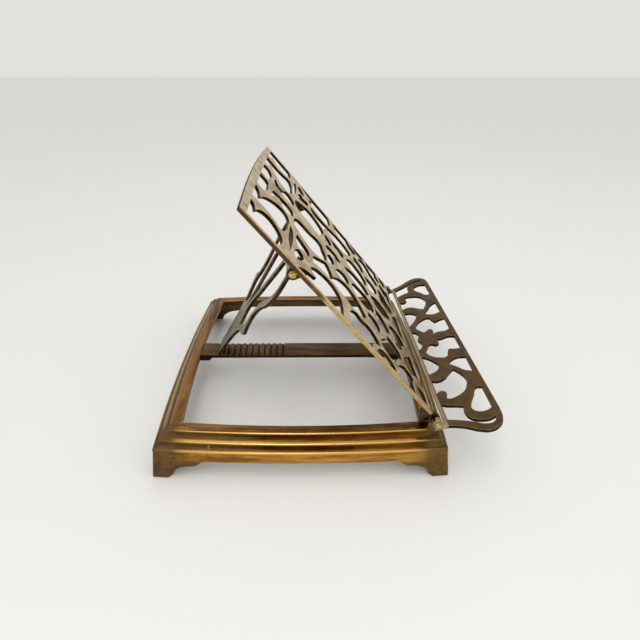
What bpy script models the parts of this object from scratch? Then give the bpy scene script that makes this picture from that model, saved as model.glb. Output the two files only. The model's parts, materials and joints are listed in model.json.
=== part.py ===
"""Folding brass table music stand: openwork back, folding ledge, prop and notched bar on a moulded base.

World frame: X across the stand, -Y to the reader, +Z up, floor at z = 0, metres.
The stand is built set up for use, with the prop's tip over the rearmost notch, just clear of the
tops of the teeth.
"""
import math

import bmesh
import bpy
from mathutils import Matrix, Vector

MM = 0.001
GAP = 0.3 * MM

# ---- base casting -------------------------------------------------------------------------
BASE_WIDTH = 266.0 * MM          # over the fascia at the corners, X
BASE_DEPTH = 240.0 * MM          # over the fascia at the corners, Y
RAIL_BOW = 5.0 * MM              # how far each side swells outwards at its middle
RAIL_WIDTH = 21.3 * MM           # fascia to window edge
BASE_HEIGHT = 38.3 * MM          # floor to the flat top of the rails
FASCIA_BOTTOM = 17.5 * MM
FOOT_FLARE = 3.0 * MM            # how far the feet stand out past the fascia at the floor
FLARE_TOP = 26.7 * MM
SHELL = 3.6 * MM                 # wall of the hollow casting

# ---- notched bar --------------------------------------------------------------------------
BAR_WIDTH = 22.4 * MM
BAR_THICK = 4.0 * MM
TOOTH_PITCH = 6.4 * MM
TOOTH_COUNT = 10
TOOTH_DEPTH = 1.9 * MM
NOTCH_RUN = 4.2 * MM             # slope behind the rearmost notch
TIP_CLEAR = 0.35 * MM            # the prop's tip above the tops of the teeth
BAR_TAB = 7.0 * MM               # how far the bar's tabs reach under the rails
BAR_TAB_THICK = 3.0 * MM
BAR_STEP_RUN = 3.0 * MM          # sloping underside between the tab and the bar
BAR_STEP_IN = 8.0 * MM           # and how far the tab's level runs into the window

# ---- hinge lines --------------------------------------------------------------------------
PANEL_ANGLE = math.radians(49.4)     # back panel above the horizontal
LEDGE_ANGLE = math.radians(16.7)     # ledge above the horizontal, towards the reader
HINGE_FROM_CENTRE = 101.8 * MM       # panel hinge in front of the base's middle
HINGE_HEIGHT = 49.4 * MM
LEDGE_AXIS_DOWN = 6.4 * MM           # ledge hinge from the panel hinge, down the panel
LEDGE_AXIS_OUT = 5.0 * MM            # and out of the panel's back
LEDGE_FACE_DROP = 3.0 * MM           # ledge hinge above the ledge's face
PROP_AXIS_UP = 155.9 * MM            # prop hinge from the panel hinge, up the panel
PROP_AXIS_BACK = 7.0 * MM            # and behind it
PROP_ANGLE = math.radians(57.2)      # prop below the horizontal
PROP_THICK = 3.4 * MM
PROP_AXIS_HEIGHT = (HINGE_HEIGHT + PROP_AXIS_UP * math.sin(PANEL_ANGLE)
                    - PROP_AXIS_BACK * math.cos(PANEL_ANGLE))
PROP_LENGTH = ((PROP_AXIS_HEIGHT - BASE_HEIGHT - TIP_CLEAR - PROP_THICK / 2 * math.cos(PROP_ANGLE))
               / math.sin(PROP_ANGLE))

# ---- plates -------------------------------------------------------------------------------
PANEL_BACK = 4.5 * MM                # panel hinge to the panel's rear face
PANEL_THICK = 3.0 * MM
LEDGE_THICK = 3.0 * MM
CROWN = 0.0015                       # lift of an outline's points per mm from the middle: no two corners line up

# ---- hinge pieces, outwards from the middle -----------------------------------------------
LUG_X = (112.3 * MM, 116.2 * MM)
EAR_X = (117.1 * MM, 121.2 * MM)
EYE_X = (122.1 * MM, 127.4 * MM)
PROP_EAR_X = (79.6 * MM, 85.2 * MM)
PROP_LUG_X = (86.1 * MM, 92.1 * MM)
PIN_RADIUS = 1.8 * MM
BORE_PLAY = 0.25 * MM
RING_RADIUS = 3.9 * MM
EYE_RADIUS = 4.1 * MM
WASHER_RADIUS = 3.4 * MM
EAR_REACH = 9.0 * MM                 # how far an ear runs up the panel from its hinge
ARC_STEPS = 12

# Outlines in millimetres. A third value marks a sharp corner, the rest run smoothly.
# Back panel: X across and Y up the panel from its hinge. These are the left half's openings.
PANEL_EDGE = [(-123, 2, 1), (-123, 220.5, 1), (-62, 223), (0, 224), (62, 223), (123, 220.5, 1), (123, 2, 1)]
PANEL_OPENINGS = [
    # under the top rail: three openings between hooked leaves
    [(-118, 214, 1), (-87, 214.5, 1), (-91, 211), (-99, 208.5, 1), (-90, 205), (-85, 199), (-86, 192),
     (-93, 186), (-103, 183), (-118, 186, 1)],
    [(-76, 215, 1), (-46, 215.5, 1), (-51, 211.5), (-63, 208.5, 1), (-52, 204.5), (-43, 199), (-36, 191),
     (-35, 184), (-42, 179.5), (-58, 179.5), (-76, 181.5), (-82, 184.5), (-78, 192), (-75, 202)],
    [(-37, 215.5, 1), (-4, 216, 1), (-4.5, 208), (-15, 206), (-28, 205.5, 1), (-33, 207), (-38, 210)],
    [(-30, 199, 1), (-22, 200), (-10, 198, 1), (-8, 190), (-8, 178), (-16, 175), (-25, 177), (-29, 184),
     (-18, 191), (-22, 196)],
    # slits between the side stems
    [(-104, 174, 1), (-80, 176), (-52, 175.5, 1), (-62, 172.2), (-84, 171.5)],
    [(-107, 168, 1), (-94, 168.5), (-84, 165, 1), (-88, 161.5), (-98, 162)],
    [(-80, 166, 1), (-70, 169.5), (-56, 169, 1), (-61, 161), (-66, 155), (-79, 155, 1), (-75, 160)],
    # middle row
    [(-118, 165, 1), (-111, 160), (-106, 152), (-103, 145, 1), (-97, 151), (-88, 147), (-82, 138), (-80, 129),
     (-85, 120), (-98, 116.5), (-118, 117, 1)],
    [(-53, 152), (-47, 162), (-37, 171), (-21, 171, 1), (-15, 165), (-14, 152), (-11, 138), (-20, 135),
     (-34, 131), (-44, 134), (-51, 143)],
    [(-78, 148, 1), (-64, 147), (-54, 138), (-46, 130, 1), (-53, 126), (-64, 123, 1), (-56, 118), (-48, 110),
     (-46, 100), (-52, 92), (-62, 85), (-73, 82), (-80, 90), (-82, 100), (-78, 112), (-74, 124), (-73, 136)],
    [(-36, 127, 1), (-26, 128), (-14, 124, 1), (-20, 120), (-30, 121)],
    [(-40, 118, 1), (-32, 115), (-24, 108), (-25, 101), (-36, 99, 1), (-41, 107)],
    # lower rows
    [(-118, 108, 1), (-104, 106), (-91, 102), (-85, 95, 1), (-88, 88), (-86, 79), (-92, 71), (-102, 68, 1),
     (-107, 78), (-118, 82, 1)],
    [(-118, 75, 1), (-110, 71), (-104, 62), (-109, 53), (-118, 51, 1)],
    [(-37, 92, 1), (-28, 93), (-18, 88, 1), (-16, 77), (-18, 66), (-27, 62), (-38, 64), (-45, 72), (-47, 82)],
    [(-80, 74, 1), (-68, 75), (-54, 74, 1), (-53, 66), (-60, 60), (-72, 62, 1), (-76, 68)],
    [(-98, 60, 1), (-88, 63), (-78, 57), (-70, 50), (-60, 48, 1), (-62, 40), (-70, 32), (-80, 32, 1),
     (-86, 40), (-96, 45), (-103, 51)],
    [(-48, 60, 1), (-36, 57), (-22, 57, 1), (-26, 48), (-35, 42), (-46, 40, 1), (-52, 48)],
    [(-118, 44, 1), (-107, 44), (-96, 38), (-89, 29, 1), (-95, 21), (-104, 25), (-118, 25, 1)],
    [(-58, 32), (-46, 34), (-34, 36, 1), (-24, 32), (-20, 24), (-26, 16), (-38, 14, 1), (-44, 21), (-54, 22, 1)],
    [(-118, 19, 1), (-108, 17), (-98, 13, 1), (-102, 8.5), (-118, 8, 1)],
    [(-90, 20, 1), (-80, 25), (-68, 23), (-58, 15), (-50, 8.5, 1), (-88, 8, 1), (-84, 13)],
]
PANEL_MIDDLE_OPENINGS = [
    [(-7, 123), (0, 128), (7, 123), (8, 114, 1), (0, 106, 1), (-8, 114, 1)],
    [(0, 101, 1), (9, 91), (11, 77), (7, 67), (0, 63, 1), (-7, 67), (-11, 77), (-9, 91)],
    [(-10, 52, 1), (0, 58), (10, 52, 1), (13, 42), (8, 32), (0, 28), (-8, 32), (-13, 42)],
    [(-14, 18, 1), (0, 21), (14, 18, 1), (26, 8.5, 1), (-26, 8.5, 1)],
]

# Ledge: X across and Y towards the reader along the ledge's face, from under its hinge.
LEDGE_EDGE = [
    (-121.8, 5.4, 1), (-121.8, -3.6, 1), (-127.6, -3.6, 1), (-127.8, 8), (-132, 19), (-138, 28), (-141, 37),
    (-138.5, 44), (-132, 49), (-120, 51, 1), (120, 51, 1), (132, 49), (138.5, 44), (141, 37), (138, 28),
    (132, 19), (127.8, 8), (127.6, -3.6, 1), (121.8, -3.6, 1), (121.8, 5.4, 1)]
LEDGE_OPENINGS = [
    [(-127.5, 45.5, 1), (-133, 42), (-133.5, 36), (-129, 28), (-124, 18), (-120.5, 9, 1), (-102, 9, 1),
     (-104.5, 13), (-107, 20), (-109, 25, 1), (-117, 24), (-125, 27), (-128.5, 33), (-129.5, 40)],
    [(-117, 46, 1), (-91, 46.5, 1), (-90, 42.5), (-98, 37.5), (-107, 32.5), (-114, 31), (-119, 35), (-119.5, 41)],
    [(-68, 46.5, 1), (-45, 47, 1), (-43, 40), (-45, 34), (-50, 29.5, 1), (-56, 35), (-64, 40.5)],
    [(-30, 47, 1), (-8, 47, 1), (-5.5, 42), (-6.5, 33), (-5, 29.5, 1), (-14, 29.5), (-15.5, 26, 1), (-12, 21.5),
     (-16, 18), (-24, 15), (-32, 18), (-37, 24), (-38.5, 31), (-32, 34), (-27.5, 36.5), (-29, 41)],
    [(-96, 24, 1), (-92, 31), (-85, 35.5), (-77, 37.5), (-68, 35.5), (-59, 31, 1), (-64, 25.5), (-69.5, 20),
     (-71, 13), (-69, 9, 1), (-87, 9, 1), (-85, 13), (-88, 17), (-92, 16), (-94, 14, 1), (-97, 18)],
    [(-59, 9, 1), (-58.5, 12), (-55.5, 17.5), (-49, 20.5), (-42, 18), (-34, 13), (-30, 9, 1)],
]
LEDGE_MIDDLE_OPENINGS = [
    [(-17.5, 9, 1), (-15, 12), (-9, 14), (0, 11.5, 1), (9, 14), (15, 12), (17.5, 9, 1)],
]

# Prop: X across and Y down from its hinge to its tip.
PROP_EDGE = [
    (-85.2, -3, 1), (-85.2, 8), (-87.5, 24), (-80, 38), (-57, 60), (-54, 70), (-60, 77), (-66, 79, 1),
    (-58, 86), (-44, 92), (-33, 99), (-24, 110), (-17, 126), (-13.2, PROP_LENGTH / MM, 1)]
PROP_OPENINGS = [
    [(-79, 9, 1), (-81.5, 22), (-74, 34), (-51, 56), (-46.5, 68), (-48, 80), (-38, 88), (-24, 98, 1),
     (-12, 84), (-22, 56), (-35, 24), (-38, 15, 1), (-60, 9)],
]
PROP_MIDDLE_OPENINGS = [
    [(0, 92, 1), (-5, 76), (-15, 52), (-29, 20), (-31, 14, 1), (0, 17), (31, 14, 1), (29, 20), (15, 52), (5, 76)],
]


# ---- scene helpers ------------------------------------------------------------------------
def clear_scene():
    for item in list(bpy.data.objects):
        bpy.data.objects.remove(item, do_unlink=True)


def brass(name, colour, roughness):
    material = bpy.data.materials.new(name)
    material.use_nodes = True
    shader = material.node_tree.nodes["Principled BSDF"]
    shader.inputs["Base Color"].default_value = (*colour, 1.0)
    shader.inputs["Roughness"].default_value = roughness
    shader.inputs["Metallic"].default_value = 1.0
    return material


def add_object(name, mesh, material, placement=None):
    """A named object whose origin and turn come from a 4x4 placement."""
    item = bpy.data.objects.new(name, mesh)
    bpy.context.scene.collection.objects.link(item)
    mesh.materials.clear()
    mesh.materials.append(material)
    mesh.shade_smooth()
    mesh.set_sharp_from_angle(angle=math.radians(35))
    if placement is not None:
        item.matrix_world = placement
    return item


def mesh_from_bmesh(name, shape):
    bmesh.ops.recalc_face_normals(shape, faces=shape.faces)
    mesh = bpy.data.meshes.new(name)
    shape.to_mesh(mesh)
    shape.free()
    return mesh


def hinge_frame(y, z, angle):
    """Placement with local X along the hinge and local Y turned up by an angle."""
    return Matrix.Translation((0, y, z)) @ Matrix.Rotation(angle, 4, "X")


# ---- outlines -----------------------------------------------------------------------------
def mirror_outline(points):
    return [(-point[0], *point[1:]) for point in reversed(points)]


def both_sides(openings, middle):
    return openings + [mirror_outline(opening) for opening in openings] + middle


def add_spline(curve, points):
    spline = curve.splines.new("BEZIER")
    spline.bezier_points.add(len(points) - 1)
    spline.use_cyclic_u = True
    for knot, point in zip(spline.bezier_points, points):
        knot.co = (point[0] * MM, (point[1] + CROWN * abs(point[0])) * MM, 0)
        kind = "VECTOR" if len(point) == 3 else "AUTO"
        knot.handle_left_type = kind
        knot.handle_right_type = kind


def plate_mesh(name, edge, openings, thickness, steps):
    """A flat plate with smooth openings, lying in local XY with its mid plane at z = 0."""
    curve = bpy.data.curves.new(name, "CURVE")
    curve.dimensions = "2D"
    curve.fill_mode = "BOTH"
    curve.resolution_u = steps
    curve.extrude = thickness / 2
    for outline in [edge] + openings:
        add_spline(curve, outline)
    guide = bpy.data.objects.new(name, curve)
    bpy.context.scene.collection.objects.link(guide)
    bpy.context.view_layer.update()
    evaluated = guide.evaluated_get(bpy.context.evaluated_depsgraph_get())
    mesh = bpy.data.meshes.new_from_object(evaluated)
    bpy.data.objects.remove(guide, do_unlink=True)
    shape = bmesh.new()
    shape.from_mesh(mesh)
    bmesh.ops.remove_doubles(shape, verts=shape.verts, dist=0.002 * MM)
    bmesh.ops.triangulate(shape, faces=shape.faces)
    return mesh_from_bmesh(name, shape)


def circle_points(centre, radius, steps=ARC_STEPS):
    return [(centre[0] + radius * math.cos(2 * math.pi * step / steps),
             centre[1] + radius * math.sin(2 * math.pi * step / steps)) for step in range(steps)]


def hull_slab(name, outline, x_low, x_high):
    """The convex shape round some (y, z) points, between two x planes."""
    shape = bmesh.new()
    for x in (x_low, x_high):
        for y, z in outline:
            shape.verts.new((x, y, z))
    made = bmesh.ops.convex_hull(shape, input=shape.verts)
    loose = [item for item in made["geom_interior"] + made["geom_unused"] if isinstance(item, bmesh.types.BMVert)]
    bmesh.ops.delete(shape, geom=list(set(loose)), context="VERTS")
    return mesh_from_bmesh(name, shape)


def rod_mesh(name, spans, centre=(0, 0), steps=20):
    """Round steps along X: each span is (x start, x end, radius), joined end to end."""
    shape = bmesh.new()
    rings = []
    for start, end, radius in spans:
        for x in (start, end):
            rings.append([shape.verts.new((x, y, z)) for y, z in circle_points(centre, radius, steps)])
    for first, second in zip(rings, rings[1:]):
        for index in range(steps):
            after = (index + 1) % steps
            shape.faces.new((first[index], first[after], second[after], second[index]))
    shape.faces.new(rings[0])
    shape.faces.new(rings[-1])
    return mesh_from_bmesh(name, shape)


def washer_mesh(name, x_low, x_high, bore, steps=20):
    shape = bmesh.new()
    corners = [(x_low, WASHER_RADIUS), (x_high, WASHER_RADIUS), (x_high, bore), (x_low, bore)]
    rings = [[shape.verts.new((x, y, z)) for y, z in circle_points((0, 0), radius, steps)]
             for x, radius in corners]
    for number, first in enumerate(rings):
        second = rings[(number + 1) % len(rings)]
        for index in range(steps):
            after = (index + 1) % steps
            shape.faces.new((first[index], first[after], second[after], second[index]))
    return mesh_from_bmesh(name, shape)


def combine(target, others, operation):
    """Exact booleans between object meshes in the same local frame, applied in turn."""
    for mesh in others:
        tool = bpy.data.objects.new("tool", mesh)
        bpy.context.scene.collection.objects.link(tool)
        tool.matrix_world = target.matrix_world
        step = target.modifiers.new("step", "BOOLEAN")
        step.operation = operation
        step.solver = "EXACT"
        step.object = tool
        bpy.context.view_layer.update()
        evaluated = target.evaluated_get(bpy.context.evaluated_depsgraph_get())
        result = bpy.data.meshes.new_from_object(evaluated)
        target.modifiers.clear()
        target.data = result
        bpy.data.objects.remove(tool, do_unlink=True)


def flip_x(mesh):
    twin = mesh.copy()
    twin.transform(Matrix.Scale(-1, 4, (1, 0, 0)))
    twin.flip_normals()
    return twin


def add_pair(name, mesh, material, placement, cutter=None):
    """A piece at +X and its mirror image at -X, each with the same hole cut in it."""
    for side, flip in (("right", False), ("left", True)):
        item = add_object(name + "_" + side, flip_x(mesh) if flip else mesh.copy(), material, placement)
        if cutter:
            combine(item, [flip_x(cutter) if flip else cutter.copy()], "DIFFERENCE")


# ---- base ---------------------------------------------------------------------------------
def foot_outline():
    """Bracket foot along a rail: distance from the corner and lower edge height."""
    return [(0, 0), (13.0, 0), (13.6, 3.2), (16, 6.8), (20, 9.8), (24, 11.6), (30, 12.4), (34, 12.9),
            (37.5, 14.6), (40.5, FASCIA_BOTTOM / MM)]


def rail_section(lower):
    """Section of the hollow rail as (inset, z), from the window edge over the mouldings and back inside."""
    flare = FOOT_FLARE * (1 - lower / FLARE_TOP)
    top = BASE_HEIGHT
    return [
        (RAIL_WIDTH, top), (13.2 * MM, top), (12.0 * MM, top - 0.5 * MM), (11.6 * MM, top - 1.2 * MM),
        (8.6 * MM, top - 2.3 * MM), (6.7 * MM, top - 4.4 * MM), (5.2 * MM, top - 5.5 * MM),
        (4.7 * MM, top - 6.1 * MM), (2.2 * MM, top - 7.8 * MM), (1.0 * MM, top - 10.2 * MM),
        (0.0, FLARE_TOP), (-flare, lower), (-flare + SHELL, lower), (SHELL, FLARE_TOP - 2 * MM),
        (SHELL + 2 * MM, FLARE_TOP + 1 * MM), (9.5 * MM, top - 7.2 * MM), (13.0 * MM, top - BAR_THICK),
        (RAIL_WIDTH, top - BAR_THICK)]


def rail_stations(length):
    """Stations along one side from corner to corner: (position -1..1, lower edge)."""
    foot = [(distance * MM, height * MM) for distance, height in foot_outline()]
    reach = foot[-1][0]
    plain = [reach + (length / 2 - reach) * share for share in (0.34, 0.67, 1.0)]
    first_half = foot + [(distance, FASCIA_BOTTOM) for distance in plain]
    stations = [(distance / (length / 2) - 1, height) for distance, height in first_half]
    return stations + [(-place, height) for place, height in reversed(stations[1:-1])]


def base_mesh():
    shape = bmesh.new()
    rings = []
    sides = [(BASE_WIDTH, BASE_DEPTH, 0), (BASE_DEPTH, BASE_WIDTH, 1), (BASE_WIDTH, BASE_DEPTH, 2),
             (BASE_DEPTH, BASE_WIDTH, 3)]
    for length, across, quarter_turns in sides:
        turn = Matrix.Rotation(quarter_turns * math.pi / 2, 3, "Z")
        for place, lower in rail_stations(length):
            bow = RAIL_BOW * (1 - place * place)
            ring = []
            for inset, z in rail_section(lower):
                point = Vector((place * (length / 2 - inset), -(across / 2 - inset + bow), z))
                ring.append(shape.verts.new(turn @ point))
            rings.append(ring)
    for number, first in enumerate(rings):
        second = rings[(number + 1) % len(rings)]
        for index in range(len(first)):
            after = (index + 1) % len(first)
            shape.faces.new((first[index], first[after], second[after], second[index]))
    return mesh_from_bmesh("base_frame", shape)


def bar_mesh(notch_y):
    """Flat bar with rounded teeth in front of the rearmost notch, tabbed under both rails."""
    top = BASE_HEIGHT
    under = top - BAR_THICK
    end = BASE_DEPTH / 2 + RAIL_BOW - RAIL_WIDTH - GAP
    tab_end = end + BAR_TAB
    tab_low = under - GAP - BAR_TAB_THICK
    step_end = end - BAR_STEP_IN
    side = [(-tab_end, tab_low), (-tab_end, under - GAP), (-end, under - GAP), (-end, top)]
    first_notch = notch_y - TOOTH_COUNT * TOOTH_PITCH
    side.append((first_notch - 1.2 * MM, top))
    for tooth in range(TOOTH_COUNT):
        for step in range(6):
            share = step / 6
            crest = math.sin(math.pi * share) ** 0.6
            side.append((first_notch + (tooth + share) * TOOTH_PITCH, top - TOOTH_DEPTH * (1 - crest)))
    side.append((notch_y, top - TOOTH_DEPTH))
    side.append((notch_y + NOTCH_RUN, top))
    side += [(end, top), (end, under - GAP), (tab_end, under - GAP), (tab_end, tab_low),
             (step_end, tab_low), (step_end - BAR_STEP_RUN, under), (BAR_STEP_RUN - step_end, under),
             (-step_end, tab_low)]
    shape = bmesh.new()
    face = shape.faces.new([shape.verts.new((-BAR_WIDTH / 2, y, z)) for y, z in side])
    grown = bmesh.ops.extrude_face_region(shape, geom=[face])
    moved = [item for item in grown["geom"] if isinstance(item, bmesh.types.BMVert)]
    bmesh.ops.translate(shape, verts=moved, vec=(BAR_WIDTH, 0, 0))
    bmesh.ops.triangulate(shape, faces=shape.faces)
    return mesh_from_bmesh("ratchet_bar", shape)


# ---- the whole stand ----------------------------------------------------------------------
def build():
    clear_scene()
    base_brass = brass("base_brass", (0.42, 0.27, 0.10), 0.42)
    bar_brass = brass("bar_brass", (0.20, 0.15, 0.09), 0.5)
    panel_brass = brass("panel_brass", (0.66, 0.53, 0.33), 0.38)
    ledge_brass = brass("ledge_brass", (0.26, 0.17, 0.09), 0.45)
    prop_brass = brass("prop_brass", (0.33, 0.26, 0.13), 0.42)
    screw_brass = brass("screw_brass", (0.80, 0.62, 0.28), 0.25)

    # The origin is the middle of the footprint, ledge included.
    rim_reach = 51 * MM * math.cos(LEDGE_ANGLE)
    drop_shift = (LEDGE_FACE_DROP + LEDGE_THICK) * math.sin(LEDGE_ANGLE)
    ledge_axis_y = (-HINGE_FROM_CENTRE - LEDGE_AXIS_DOWN * math.cos(PANEL_ANGLE)
                    - LEDGE_AXIS_OUT * math.sin(PANEL_ANGLE))
    front_y = ledge_axis_y - rim_reach - drop_shift
    back_y = BASE_DEPTH / 2 + RAIL_BOW + FOOT_FLARE * (1 - FASCIA_BOTTOM / FLARE_TOP)
    base_y = -(front_y + back_y) / 2

    hinge_y = base_y - HINGE_FROM_CENTRE
    panel_place = hinge_frame(hinge_y, HINGE_HEIGHT, PANEL_ANGLE)
    ledge_axis = panel_place @ Vector((0, -LEDGE_AXIS_DOWN, LEDGE_AXIS_OUT))
    prop_axis = panel_place @ Vector((0, PROP_AXIS_UP, -PROP_AXIS_BACK))
    ledge_place = hinge_frame(ledge_axis.y, ledge_axis.z, math.pi - LEDGE_ANGLE)
    prop_place = hinge_frame(prop_axis.y, prop_axis.z, math.pi - PROP_ANGLE)

    base_place = Matrix.Translation((0, base_y, 0))
    add_object("base_frame", base_mesh(), base_brass, base_place)
    tip = prop_place @ Vector((0, -PROP_LENGTH, PROP_THICK / 2))
    add_object("ratchet_bar", bar_mesh(tip.y - base_y), bar_brass, base_place)

    # Hinge lugs stand on the flat top of the base's front corners.
    bore = PIN_RADIUS + BORE_PLAY
    lug_foot = BASE_HEIGHT + GAP - HINGE_HEIGHT
    lug_outline = circle_points((0, 0), RING_RADIUS + 0.6 * MM) + [
        (-4.6 * MM, lug_foot), (3.0 * MM, lug_foot), (-4.6 * MM, lug_foot + 2 * MM), (3.0 * MM, lug_foot + 2 * MM)]
    hinge_place = hinge_frame(hinge_y, HINGE_HEIGHT, 0)
    hinge_bore = rod_mesh("bore", [(LUG_X[0] - MM, LUG_X[1] + MM, bore)])
    add_pair("hinge_lug", hull_slab("hinge_lug", lug_outline, *LUG_X), base_brass, hinge_place, hinge_bore)
    pin = rod_mesh("hinge_pin", [(LUG_X[0] - 0.4 * MM, EAR_X[1] - 1.2 * MM, PIN_RADIUS)])
    add_pair("hinge_pin", pin, screw_brass, hinge_place)
    washer = washer_mesh("hinge_washer", LUG_X[1] + GAP, EAR_X[0] - GAP, bore)
    add_pair("hinge_washer", washer, screw_brass, hinge_place)

    # Back panel with a hinge ear at each lower corner.
    panel = add_object(
        "back_panel",
        plate_mesh("back_panel", PANEL_EDGE, both_sides(PANEL_OPENINGS, PANEL_MIDDLE_OPENINGS), PANEL_THICK, 3),
        panel_brass, panel_place)
    panel.data.transform(Matrix.Translation((0, 0, PANEL_BACK + PANEL_THICK / 2)))
    ledge_centre = (-LEDGE_AXIS_DOWN, LEDGE_AXIS_OUT)
    ear_outline = (circle_points((0, 0), RING_RADIUS) + circle_points(ledge_centre, RING_RADIUS)
                   + [(EAR_REACH, PANEL_BACK + MM), (EAR_REACH, PANEL_BACK)])
    ear = hull_slab("ear", ear_outline, *EAR_X)
    ear_bores = [rod_mesh("bore", [(EAR_X[0] - MM, EAR_X[1] + MM, bore)], centre)
                 for centre in ((0, 0), ledge_centre)]
    combine(panel, [ear, flip_x(ear)], "UNION")
    combine(panel, ear_bores + [flip_x(cutter) for cutter in ear_bores], "DIFFERENCE")

    # Prop lugs on the panel's back.
    prop_centre = (PROP_AXIS_UP, -PROP_AXIS_BACK)
    lug_top = PANEL_BACK - GAP
    prop_lug_outline = circle_points(prop_centre, 5.0 * MM) + [
        (PROP_AXIS_UP - 9 * MM, lug_top), (PROP_AXIS_UP + 7 * MM, lug_top)]
    prop_lug_bore = rod_mesh("bore", [(PROP_LUG_X[0] - MM, PROP_LUG_X[1] + MM, bore)], prop_centre)
    prop_lug = hull_slab("prop_lug", prop_lug_outline, *PROP_LUG_X)
    add_pair("prop_lug", prop_lug, panel_brass, panel_place, prop_lug_bore)

    # Prop with an ear at each end of its yoke.
    prop_edge = [(x, -y, *rest) for x, y, *rest in PROP_EDGE]
    prop_openings = [[(x, -y, *rest) for x, y, *rest in opening]
                     for opening in both_sides(PROP_OPENINGS, PROP_MIDDLE_OPENINGS)]
    crest = [(-79.6, 3, 1), (-60, -3.5), (-30, -8.5), (0, -10), (30, -8.5), (60, -3.5), (79.6, 3, 1)]
    right_edge = [(-x, y, *rest) for x, y, *rest in prop_edge]
    outline = crest + right_edge + prop_edge[::-1]
    prop = add_object("prop", plate_mesh("prop", outline, prop_openings, PROP_THICK, 4), prop_brass, prop_place)
    prop_ear = rod_mesh("prop_ear", [(*PROP_EAR_X, 4.6 * MM)])
    prop_bore = rod_mesh("bore", [(PROP_EAR_X[0] - 3 * MM, PROP_EAR_X[1] + MM, bore)])
    combine(prop, [prop_ear, flip_x(prop_ear)], "UNION")
    combine(prop, [prop_bore, flip_x(prop_bore)], "DIFFERENCE")
    prop_hinge_place = hinge_frame(prop_axis.y, prop_axis.z, PANEL_ANGLE)
    prop_screw = rod_mesh("prop_screw", [
        (PROP_EAR_X[0] + 0.5 * MM, PROP_LUG_X[1] + GAP, PIN_RADIUS),
        (PROP_LUG_X[1] + GAP, PROP_LUG_X[1] + 2.0 * MM, 3.3 * MM)])
    add_pair("prop_screw", prop_screw, screw_brass, prop_hinge_place)
    prop_washer = washer_mesh("prop_washer", PROP_EAR_X[1] + GAP, PROP_LUG_X[0] - GAP, bore)
    add_pair("prop_washer", prop_washer, screw_brass, prop_hinge_place)

    # Ledge with a hinge eye on each outer arm.
    ledge = add_object(
        "ledge", plate_mesh("ledge", LEDGE_EDGE, both_sides(LEDGE_OPENINGS, LEDGE_MIDDLE_OPENINGS), LEDGE_THICK, 4),
        ledge_brass, ledge_place)
    # Local Z of the ledge's frame points down, so its face lies on the positive side of the axis.
    ledge.data.transform(Matrix.Translation((0, 0, LEDGE_FACE_DROP + LEDGE_THICK / 2)))
    eye = rod_mesh("eye", [(*EYE_X, EYE_RADIUS)])
    eye_bore = rod_mesh("bore", [(EYE_X[0] - MM, EYE_X[1] + MM, bore)])
    combine(ledge, [eye, flip_x(eye)], "UNION")
    combine(ledge, [eye_bore, flip_x(eye_bore)], "DIFFERENCE")
    ledge_hinge_place = hinge_frame(ledge_axis.y, ledge_axis.z, PANEL_ANGLE)
    ledge_screw = rod_mesh("ledge_screw", [
        (EAR_X[0] + 0.4 * MM, EYE_X[1] + GAP, PIN_RADIUS), (EYE_X[1] + GAP, EYE_X[1] + 1.2 * MM, 2.7 * MM),
        (EYE_X[1] + 1.2 * MM, EYE_X[1] + 2.0 * MM, 1.6 * MM)])
    add_pair("ledge_screw", ledge_screw, screw_brass, ledge_hinge_place)
    ledge_washer = washer_mesh("ledge_washer", EAR_X[1] + GAP, EYE_X[0] - GAP, bore)
    add_pair("ledge_washer", ledge_washer, screw_brass, ledge_hinge_place)


build()
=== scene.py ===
import json
import math

import bmesh
import bpy
from mathutils import Matrix, Vector
from mathutils.geometry import delaunay_2d_cdt


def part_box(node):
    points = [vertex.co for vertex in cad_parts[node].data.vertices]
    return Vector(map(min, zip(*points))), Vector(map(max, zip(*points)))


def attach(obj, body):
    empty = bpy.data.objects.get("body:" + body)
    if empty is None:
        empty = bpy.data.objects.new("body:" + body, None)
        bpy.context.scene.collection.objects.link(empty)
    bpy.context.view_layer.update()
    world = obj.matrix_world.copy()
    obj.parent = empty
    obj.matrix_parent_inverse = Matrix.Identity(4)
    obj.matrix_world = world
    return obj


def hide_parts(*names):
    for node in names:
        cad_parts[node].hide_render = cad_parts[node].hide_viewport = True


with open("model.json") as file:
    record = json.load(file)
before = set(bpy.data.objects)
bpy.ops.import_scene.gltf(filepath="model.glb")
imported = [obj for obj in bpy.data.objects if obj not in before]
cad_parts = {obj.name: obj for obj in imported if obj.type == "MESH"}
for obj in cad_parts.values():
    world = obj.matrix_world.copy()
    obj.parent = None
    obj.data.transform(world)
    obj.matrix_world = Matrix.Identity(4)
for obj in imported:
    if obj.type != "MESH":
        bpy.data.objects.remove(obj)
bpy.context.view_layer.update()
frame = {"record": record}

MM = 0.001

# ---- driving sizes ------------------------------------------------------------------------
BASE_WIDTH = 266.0 * MM
BASE_DEPTH = 240.0 * MM
RAIL_BOW = 5.0 * MM
RAIL_WIDTH = 21.3 * MM
BASE_HEIGHT = 38.3 * MM
FASCIA_BOTTOM = 17.5 * MM
FOOT_FLARE = 3.0 * MM
FLARE_TOP = 26.7 * MM
SHELL = 3.6 * MM
BAR_WIDTH = 22.4 * MM
BAR_THICK = 4.0 * MM
TOOTH_PITCH = 6.4 * MM
TOOTH_COUNT = 10
TOOTH_DEPTH = 1.9 * MM
NOTCH_RUN = 4.2 * MM
BAR_TAB = 7.0 * MM
BAR_TAB_THICK = 3.0 * MM
BAR_STEP_RUN = 3.0 * MM
BAR_STEP_IN = 8.0 * MM
GAP = 0.3 * MM
CROWN = 0.0015                    # lift of a plate's outline per mm away from its middle
PANEL_BACK = 4.5 * MM
PANEL_THICK = 3.0 * MM
LEDGE_FACE_DROP = 3.0 * MM
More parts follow.
